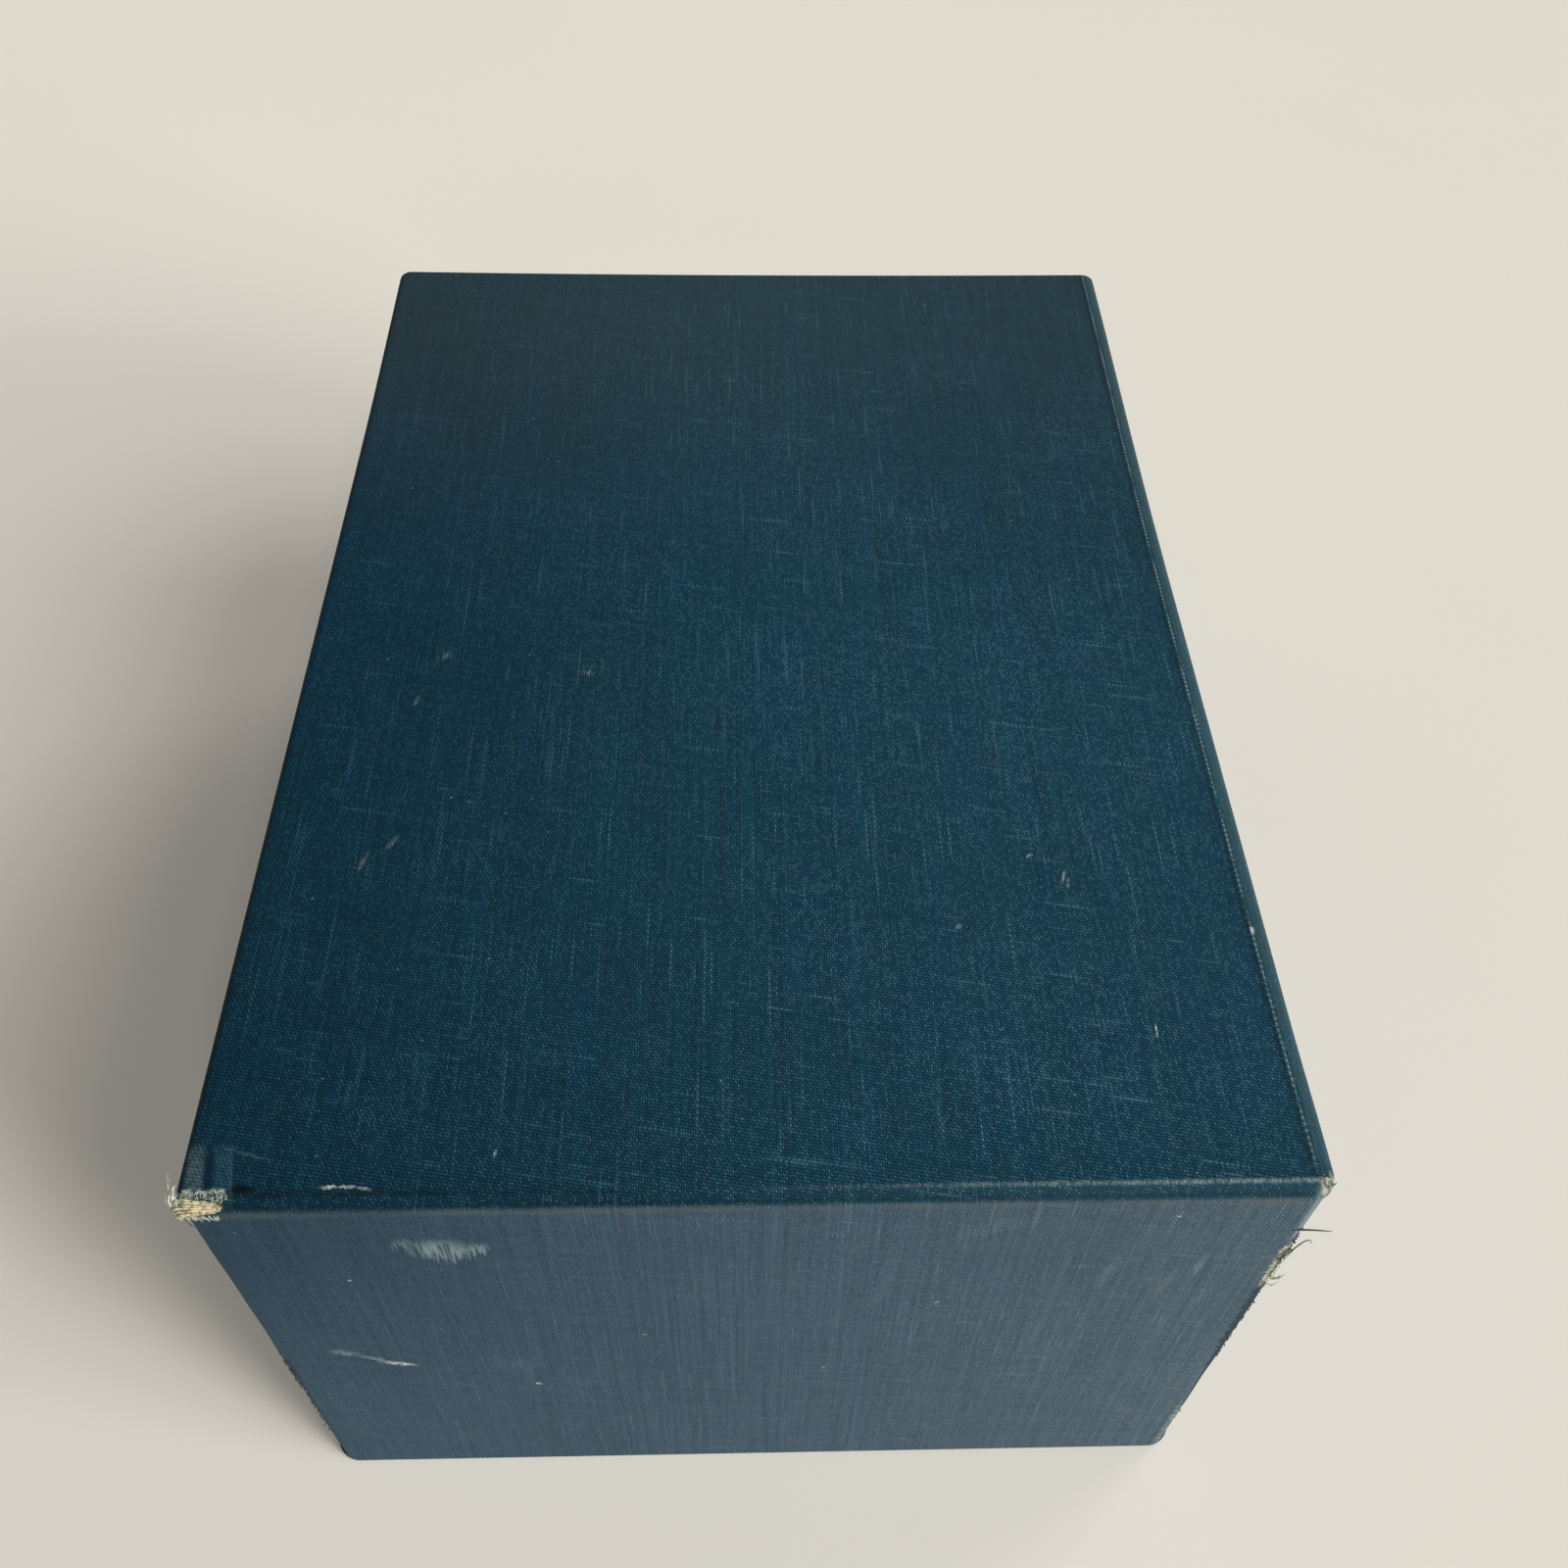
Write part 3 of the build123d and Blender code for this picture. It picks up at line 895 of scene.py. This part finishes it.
def hinge_half():
    """The strip as it lies on the base half: down the spine, into the joint, out over the board.

    Its section is straight down the spine's inner face, a half circle at the bottom of the
    joint, up the end of the board and along it, and it is carried straight across.
    """
    spine_y = spine_face + board_layer
    board_y = board_start - joint_clear
    middle, radius = (spine_y + board_y) / 2, (board_y - spine_y) / 2
    turn_z = 1.0 + radius
    half_turn = arc(0, 180, 9)
    corner = arc(0, 90, 4)
    corner_round = 0.25
    raised = 0.05
    y = np.hstack([
        np.full(16, spine_y), middle - radius * np.cos(half_turn),
        board_y + corner_round * (1 - np.cos(corner)), np.linspace(board_y + 1, hinge_end, 6),
    ])
    z = np.hstack([
        np.linspace(case_height / 2, turn_z + 0.3, 16), turn_z - radius * np.sin(half_turn),
        board_layer - corner_round + corner_round * np.sin(corner), np.full(6, board_layer),
    ])
    length = np.hstack([[0], np.cumsum(np.hypot(np.diff(y), np.diff(z)))])
    patches = []
    for low, high, first, last in (
        (-lined_half, lined_half, 0, len(y)),
        (lined_half, strip_half, 14, len(y) - 5), (-strip_half, -lined_half, 14, len(y) - 5),
    ):
        x = np.linspace(low, high, 41 if first == 0 else 7)
        rows = slice(first, last)
        spots = grid(x, y[rows, None], z[rows, None])
        if first:
            # the turned-in ends lie on the cloth beside them, not in it
            spots[:, :, 1] += raised * (y[rows, None] < middle)
            spots[:, :, 2] += raised * (z[rows, None] > board_layer - 0.3)
        flat = grid(spots[..., 0], length[rows, None])
        patches.append((spots, flat, False))
    return patches


hinge_patches = hinge_half()
base_hinge = make_piece("base_hinge_cloth", hinge_patches)
lid_hinge_patches = []
for spots, flat, flip in hinge_patches:
    upper = spots.copy()
    upper[..., 2] = case_height - upper[..., 2]
    lid_hinge_patches.append((upper, flat * (1, -1), not flip))
lid_hinge = make_piece("lid_hinge_cloth", lid_hinge_patches)
hinge_material = plain_bookcloth("hinge_bookcloth", paint(12, 36, 50), paint(27, 62, 76),
                                 paint(26, 60, 88), paint(64, 98, 112), skew=0.02)
for piece in (base_hinge, lid_hinge):
    thicken(piece, hinge_thickness)
    piece.data.materials.append(hinge_material)
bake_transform(base_hinge)
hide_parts("base_hinge_lining", "spine_hinge_lining")
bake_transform(lid_hinge)
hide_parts("lid_hinge_lining")

# --- Tray cloths
# Each tray's three walls are covered inside and out with one strip of the bookcloth, drawn
# over the rims and round the open ends. Under it the walls are board.
tray_board = 2.4
tray_cloth = 0.45
tray_start = -121.45


def tray_shell(side, fore, rim):
    """The cloth round three walls, as a closed shell.

    A section of the wall, which is its outer face, a round rim and its inner face, is carried
    along the outline: up the tail side, across the fore-edge and down the head side. A point
    lies inside the outline by its depth, and the corners are round outside and sharp inside.
    At the open ends the section shrinks over a quarter circle and is closed.
    """
    wall = tray_board + 2 * tray_cloth
    low = board_layer + 0.02  # just clear of the turn-ins
    soft = 0.75  # round of the rim
    corner = 1.3
    over = arc(0, 90, 6)[1:, None]
    down = arc(90, 0, 6)[1:, None]
    end = arc(90, 0, 5)
    bend = arc(0, 90, 7)
    run = np.linspace(tray_start + tray_cloth, fore - corner, 50)[1:]
    front = np.linspace(side - corner, corner - side, 40)[1:-1]
    straight = np.hstack([tray_start + tray_cloth * (1 - np.sin(end)), run])
    # stations up the side, round the corner and along the fore-edge: only the first shrink
    shrink = np.zeros(len(straight) + len(bend) + len(front))
    shrink[:len(end)] = tray_cloth * (1 - np.cos(end))
    steps = np.linspace(low, rim - soft, 24)[:, None]
    depth = np.vstack([
        0 * steps + shrink,
        shrink + soft * (1 - np.cos(over)),
        wall - shrink - soft * (1 - np.cos(down)),
        0 * steps[1:] + wall - shrink,
        shrink,
    ])
    z = np.vstack([
        steps - shrink, rim - shrink - soft * (1 - np.sin(over)),
        rim - shrink - soft * (1 - np.sin(down)),
        steps[::-1][1:] - shrink, steps[:1] - shrink,
    ])
    z = np.maximum(z, low)
    x, y = round_outline(side, fore, corner, depth, straight, bend, front)
    points = whole_ring(len(straight) + len(bend), x, y, z)
    step = np.linalg.norm(np.diff(points, axis=1), axis=2)[0]
    run_length = np.hstack([[0], np.cumsum(step)])
    past_end = len(end) + 3
    rise = np.linalg.norm(np.diff(points, axis=0), axis=2)[:, past_end]
    rise_length = np.hstack([[0], np.cumsum(rise)])
    flat = np.stack(np.meshgrid(run_length, rise_length), -1)
    caps = [points[:-1, 0], points[:-1, -1][::-1]]
    return points, flat, caps


def mirror_up(points):
    """The same place on the lid: turned over at half the box's height."""
    return points * (1, 1, -1) + (0, 0, case_height)


base_points, base_flat, base_caps = tray_shell(side=80.2, fore=117.48, rim=92.15)
base_tray = make_piece("base_tray_covering", [(base_points, base_flat, False)], base_caps)
lid_points, lid_flat, lid_caps = tray_shell(side=84.5, fore=123.25, rim=118.0)
lid_caps = [mirror_up(ring)[::-1] for ring in lid_caps]
lid_tray = make_piece("lid_tray_covering", [(mirror_up(lid_points), lid_flat, True)], lid_caps)
tray_material = plain_bookcloth("tray_bookcloth", paint(12, 36, 50), paint(29, 64, 76),
                                paint(27, 61, 86), paint(72, 104, 116))
for piece, body in ((base_tray, "base"), (lid_tray, "lid")):
    piece.data.materials.append(tray_material)
    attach(piece, body)
    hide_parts(body + "_tray_cloth")

# --- Papers
# The tray floors are lined with a smooth cream paper, and thin sheets of the same stock level
# the inside of the lid and base boards under the trays. They are pasted down flat.


def make_fibres():
    """Paper and board: Cloud is the uneven pulp, Fibre the single fibres, lying every way."""
    inputs = {"Place": None, "Fibre Scale": 900.0}
    group, entry, leave = new_group("fibres", inputs, ("Cloud", "Fibre"))
    cloud = noise(entry["Place"], 60.0, 5.0)
    bent = noise(entry["Place"], entry["Fibre Scale"], 3.0, distortion=2.5)
    from_middle = reckon("ABSOLUTE", reckon("SUBTRACT", bent, 0.5))
    fill(leave, {"Cloud": cloud, "Fibre": ease(from_middle, 0.0, 0.08, 1.0, 0.0)})
    return group


fibres = make_fibres()


def pasted_paper(name, light, dark, fibre_scale, roughness, depth):
    """Paper or board that reads its pattern from the object's own place."""
    material, tree, shader = new_material(name)
    place = add("TexCoord", output=3, tree=tree)
    pulp = use_group(fibres, {"Place": place, "Fibre Scale": fibre_scale})
    colour = mix(ease(pulp["Cloud"], 0.3, 0.7), light, dark)
    darker = (*(0.8 * channel for channel in dark[:3]), 1.0)
    colour = mix(times(pulp["Fibre"], 0.35), colour, darker)
    height = reckon("MULTIPLY_ADD", pulp["Fibre"], 0.5, pulp["Cloud"])
    rough = ease(pulp["Cloud"], 0.3, 0.7, roughness, roughness + 0.12)
    finish(shader, colour, height, 0.5, depth, rough)
    return material


lining_material = pasted_paper("lining_paper", paint(226, 219, 200), paint(214, 204, 182),
                               900.0, 0.66, 0.00003)
infill_material = pasted_paper("infill_paper", paint(205, 196, 176), paint(190, 180, 158),
                               700.0, 0.75, 0.00004)


def dress(node, material):
    """Gives a node of the frame its material."""
    nodes[node].data.materials.clear()
    nodes[node].data.materials.append(material)


for body in ("base", "lid"):
    dress(body + "_tray_lining", lining_material)
    dress(body + "_infill_paper", infill_material)

# --- Boards
# Grey binder's board, cut to size, for the case and the trays. The cloth and paper hide
# nearly all of it.
board_material = pasted_paper("binders_board", paint(138, 128, 112), paint(112, 102, 88),
                              500.0, 0.80, 0.0001)
for node in nodes:
    if node.endswith(("_board", "_wall", "_floor")):
        dress(node, board_material)

# --- Worn corners and loose threads
# Where the cloth has worn through, its cut threads stand up. They are undyed inside, so they
# are cream, and some are still blue-grey. Each is a thin twisted cotton thread.


def thread_material(name, light, dark):
    """Cotton whose tone and height change as a fine noise."""
    material, tree, shader = new_material(name)
    twist = noise(add("TexCoord", output=3, tree=tree), 1500.0, 2.0)
    finish(shader, mix(ease(twist, 0.35, 0.65), dark, light), twist, 0.6, 0.00005, 0.85)
    return material


undyed_material = thread_material("undyed_thread", paint(224, 213, 178), paint(140, 124, 88))
pale_material = thread_material("pale_thread", paint(204, 208, 188), paint(136, 148, 138))
dyed_material = thread_material("dyed_thread", paint(86, 96, 102), paint(34, 46, 56))


def thread_piece(name, lines, thickness, material, body):
    """Threads as thin six-sided tubes.

    lines[thread, point] are points in millimetres. A tube's radius falls off with the cube of
    the way to its tip.
    """
    along = np.gradient(lines, axis=1)
    along /= np.linalg.norm(along, axis=2, keepdims=True)
    first = np.cross(along, (0.3, 0.5, 0.81))
    first /= np.linalg.norm(first, axis=2, keepdims=True)
    second = np.cross(along, first)
    angle = np.linspace(0, 2 * np.pi, 7)[None, None, :, None]
    way = np.linspace(0, 1, lines.shape[1])[None, :, None, None]
    radius = thickness / 2 * (1 - 0.6 * way ** 3)
    tube = lines[:, :, None] + radius * (first[:, :, None] * np.cos(angle)
                                         + second[:, :, None] * np.sin(angle))
    patches = [(thread, thread[..., :2], True) for thread in tube]
    caps = [thread[0, :-1] for thread in tube] + [thread[-1, :-1][::-1] for thread in tube]
    piece = make_piece(name, patches, caps)
    piece.data.materials.append(material)
    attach(piece, body)


def swaying(starts, ends, curl, seed, points):
    """Lines from starts towards ends, plus two sideways sine waves with random phases."""
    draw = np.random.default_rng(seed)
    s = np.linspace(0, 1, points)[None, :, None]
    lines = starts[:, None] + (ends - starts)[:, None] * s
    for turns in (1.0, 2.3):
        side = draw.normal(size=(len(starts), 1, 3))
        phase = draw.uniform(0, 6.28, (len(starts), 1, 1))
        sway = np.sin(turns * 6.28 * s + phase) - np.sin(phase)
        lines = lines + curl / turns * side * sway * s ** 0.5
    return lines


def curved(guides, points=15):
    """Bezier curves: each thread's guide points weighted by the binomial terms of t."""
    guides = np.array(guides, float)
    order = guides.shape[1] - 1
    t = np.linspace(0, 1, points)
    terms = [1.0]
    for step in range(order):
        terms.append(terms[-1] * (order - step) / (step + 1))
    weight = np.stack([terms[k] * t ** k * (1 - t) ** (order - k) for k in range(order + 1)])
    return np.einsum("kp,tkc->tpc", weight, guides)


def scatter(seed, count, low, high):
    """Random points in a box."""
    return np.random.default_rng(seed).uniform(low, high, (count, 3))


def round_the_fold(x, around, lift):
    """Places on the fold from spine to lid, by their distance over the cloth from its middle."""
    half_bend = 0.63  # half the length of its quarter circle
    turned = np.clip((around + half_bend) / fold_round, 0, np.pi / 2)
    y = spine_face + fold_round * (1 - np.sin(turned)) + np.maximum(-half_bend - around, 0)
    z = case_height - fold_round * (1 - np.cos(turned)) - np.maximum(around - half_bend, 0)
    return grid(x, y - lift, z + lift)


def clump(name, seed, count, low, high, reach_low, reach_high, curl, points, thickness):
    """Short ends on the lid: they start in the box low to high, and reach out by another."""
    starts = scatter(seed, count, low, high)
    ends = starts + scatter(seed + 1, count, reach_low, reach_high)
    lines = swaying(starts, ends, curl, seed + 2, points)
    thread_piece(name, lines, thickness, pale_material, "lid")


# the torn strands lie side by side round the fold, and close up away from the corner
around = np.linspace(-2.2, 0.9, 7)
strand_starts = round_the_fold(-86.3, around, 0)
strand_ends = round_the_fold(-80.2, around * 0.4 - 0.5, 0.05)
strand_starts += scatter(1, 7, (-0.6, -0.08, -0.05), (0.6, 0.02, 0.08))
strand_ends += scatter(2, 7, (-1.2, -0.10, -0.05), (0.9, 0.05, 0.10))
thread_piece("head_corner_strands", swaying(strand_starts, strand_ends, 0.06, 3, 13), 0.34,
             undyed_material, "lid")
clump("head_corner_tufts", 4, 170, (-86.6, -124.3, 121.9), (-79.4, -122.3, 122.0),
      (-0.3, -0.7, 0.0), (0.4, 0.1, 0.25), 0.02, 5, 0.11)
clump("head_corner_low_tufts", 7, 100, (-86.2, -126.3, 120.3), (-79.9, -126.2, 121.4),
      (-0.3, -0.12, -1.1), (0.3, 0.0, -0.2), 0.015, 5, 0.10)
thread_piece("head_corner_curls", curved([
    [(-86.0, -125.7, 120.9), (-87.2, -126.1, 120.6), (-87.9, -124.6, 121.2), (-87.2, -122.6, 122.8)],
    [(-86.1, -125.1, 121.2), (-86.9, -124.9, 121.4), (-87.5, -123.9, 121.8), (-87.0, -123.0, 121.6)],
    [(-86.2, -125.5, 121.4), (-86.9, -124.6, 122.0), (-86.8, -123.6, 121.8), (-86.4, -123.8, 121.4)],
    [(-86.4, -124.7, 121.6), (-87.4, -124.6, 121.4), (-87.8, -123.9, 121.5), (-87.2, -123.0, 122.3)],
    [(-86.3, -125.2, 120.9), (-87.4, -125.4, 121.2), (-87.8, -124.6, 120.6), (-87.0, -124.0, 121.3)],
    [(-86.2, -125.4, 121.2), (-87.0, -125.2, 121.8), (-87.2, -124.4, 121.9), (-86.6, -123.9, 122.0)],
    [(-86.6, -124.8, 121.3), (-87.9, -125.0, 121.7), (-88.3, -123.8, 122.0), (-87.6, -122.8, 122.2)],
    [(-86.4, -124.3, 121.6), (-87.6, -123.6, 121.9), (-88.0, -122.6, 122.3), (-87.3, -121.9, 122.4)],
]), 0.34, pale_material, "lid")
thread_piece("head_corner_wisps", curved([
    [(-86.8, -124.2, 121.7), (-87.9, -123.6, 122.0), (-88.7, -122.0, 122.4), (-88.8, -119.8, 122.6)],
    [(-86.8, -123.8, 121.8), (-88.2, -123.4, 122.0), (-88.4, -122.2, 122.4), (-88.2, -120.9, 122.7)],
    [(-86.6, -125.2, 121.2), (-88.0, -125.2, 121.4), (-88.6, -124.2, 121.8), (-88.5, -122.8, 122.3)],
]), 0.16, pale_material, "lid")
thread_piece("head_corner_dark_thread", curved([
    [(-85.2, -126.2, 121.2), (-85.3, -126.6, 120.2), (-85.0, -126.6, 119.0), (-84.6, -126.4, 117.8)],
]), 0.26, dyed_material, "lid")
clump("tail_corner_knots", 10, 22, (84.6, -124.8, 121.5), (86.8, -121.6, 121.9),
      (-0.8, -1.1, -0.5), (0.4, 1.1, 0.30), 0.26, 9, 0.24)

# the tail's upright edge: cream ends in the worn place, and a comb of dyed ones beside it


def round_edge(seed, count, low, high, reach, side=1.0):
    """Ends that stand out from an upright edge: angle round it and height are random."""
    draw = np.random.default_rng(seed)
    angle = np.radians(draw.uniform(25, 62, count))
    z = draw.uniform(low, high, count)
    out = np.stack([np.sin(angle), -np.cos(angle)], -1)
    middle = np.array([spine_side - spine_round, spine_face + spine_round])
    root = middle + spine_round * out
    tip = root + draw.uniform(0.3, 1.0, (count, 1)) * reach * out
    tip_z = z + draw.uniform(-1.3, 0.5, count)
    starts = np.stack([side * root[:, 0], root[:, 1], z], -1)
    return starts, np.stack([side * tip[:, 0], tip[:, 1], tip_z], -1)


for name, seed, count, low, high, reach, side, tint in (
    ("tail_edge_fray", 13, 46, 88.5, 100.0, 0.45, 1, pale_material),
    ("tail_edge_comb", 15, 40, 96.0, 108.0, 0.22, 1, dyed_material),
    ("tail_edge_low_comb", 17, 44, 52.0, 88.0, 0.20, 1, dyed_material),
    ("tail_edge_low_fray", 19, 8, 17.5, 20.5, 0.6, 1, undyed_material),
    ("head_edge_comb", 21, 60, 20.0, 61.0, 0.34, -1, dyed_material),
):
    starts, ends = round_edge(seed, count, low, high, reach, side)
    thread_piece(name, swaying(starts, ends, 0.10, seed + 1, 7), 0.24, tint, "spine")
thread_piece("tail_edge_tuft", curved([
    [(84.6, -125.8, 91.0), (85.6, -126.4, 90.8), (86.3, -126.4, 92.2), (85.8, -126.4, 93.4)],
    [(84.8, -125.7, 90.0), (86.0, -126.2, 90.2), (86.6, -126.2, 91.4), (87.0, -126.0, 92.6)],
    [(84.5, -125.8, 89.4), (85.0, -126.4, 88.2), (85.9, -126.5, 88.4), (86.4, -126.3, 90.0)],
    [(84.5, -125.8, 91.4), (85.2, -126.3, 92.6), (85.6, -126.5, 91.2), (86.5, -126.3, 91.0)],
    [(84.6, -125.7, 89.6), (85.0, -125.9, 94.0), (84.6, -126.2, 98.0), (85.5, -126.3, 103.0)],
]), 0.22, pale_material, "spine")
thread_piece("tail_edge_straight_thread", curved([
    [(83.2, -126.2, 110.6), (86.0, -126.3, 110.8), (87.4, -126.3, 110.4), (89.5, -126.3, 110.0)],
]), 0.30, dyed_material, "spine")
thread_piece("tail_edge_curled_thread", curved([
    [(84.3, -126.0, 98.6), (85.0, -126.3, 101.8), (85.9, -126.4, 104.4), (85.2, -126.4, 108.2),
     (87.5, -126.4, 107.8), (87.3, -126.4, 105.6)],
], 21), 0.22, dyed_material, "spine")

# --- Size of the object, and the end
low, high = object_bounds()
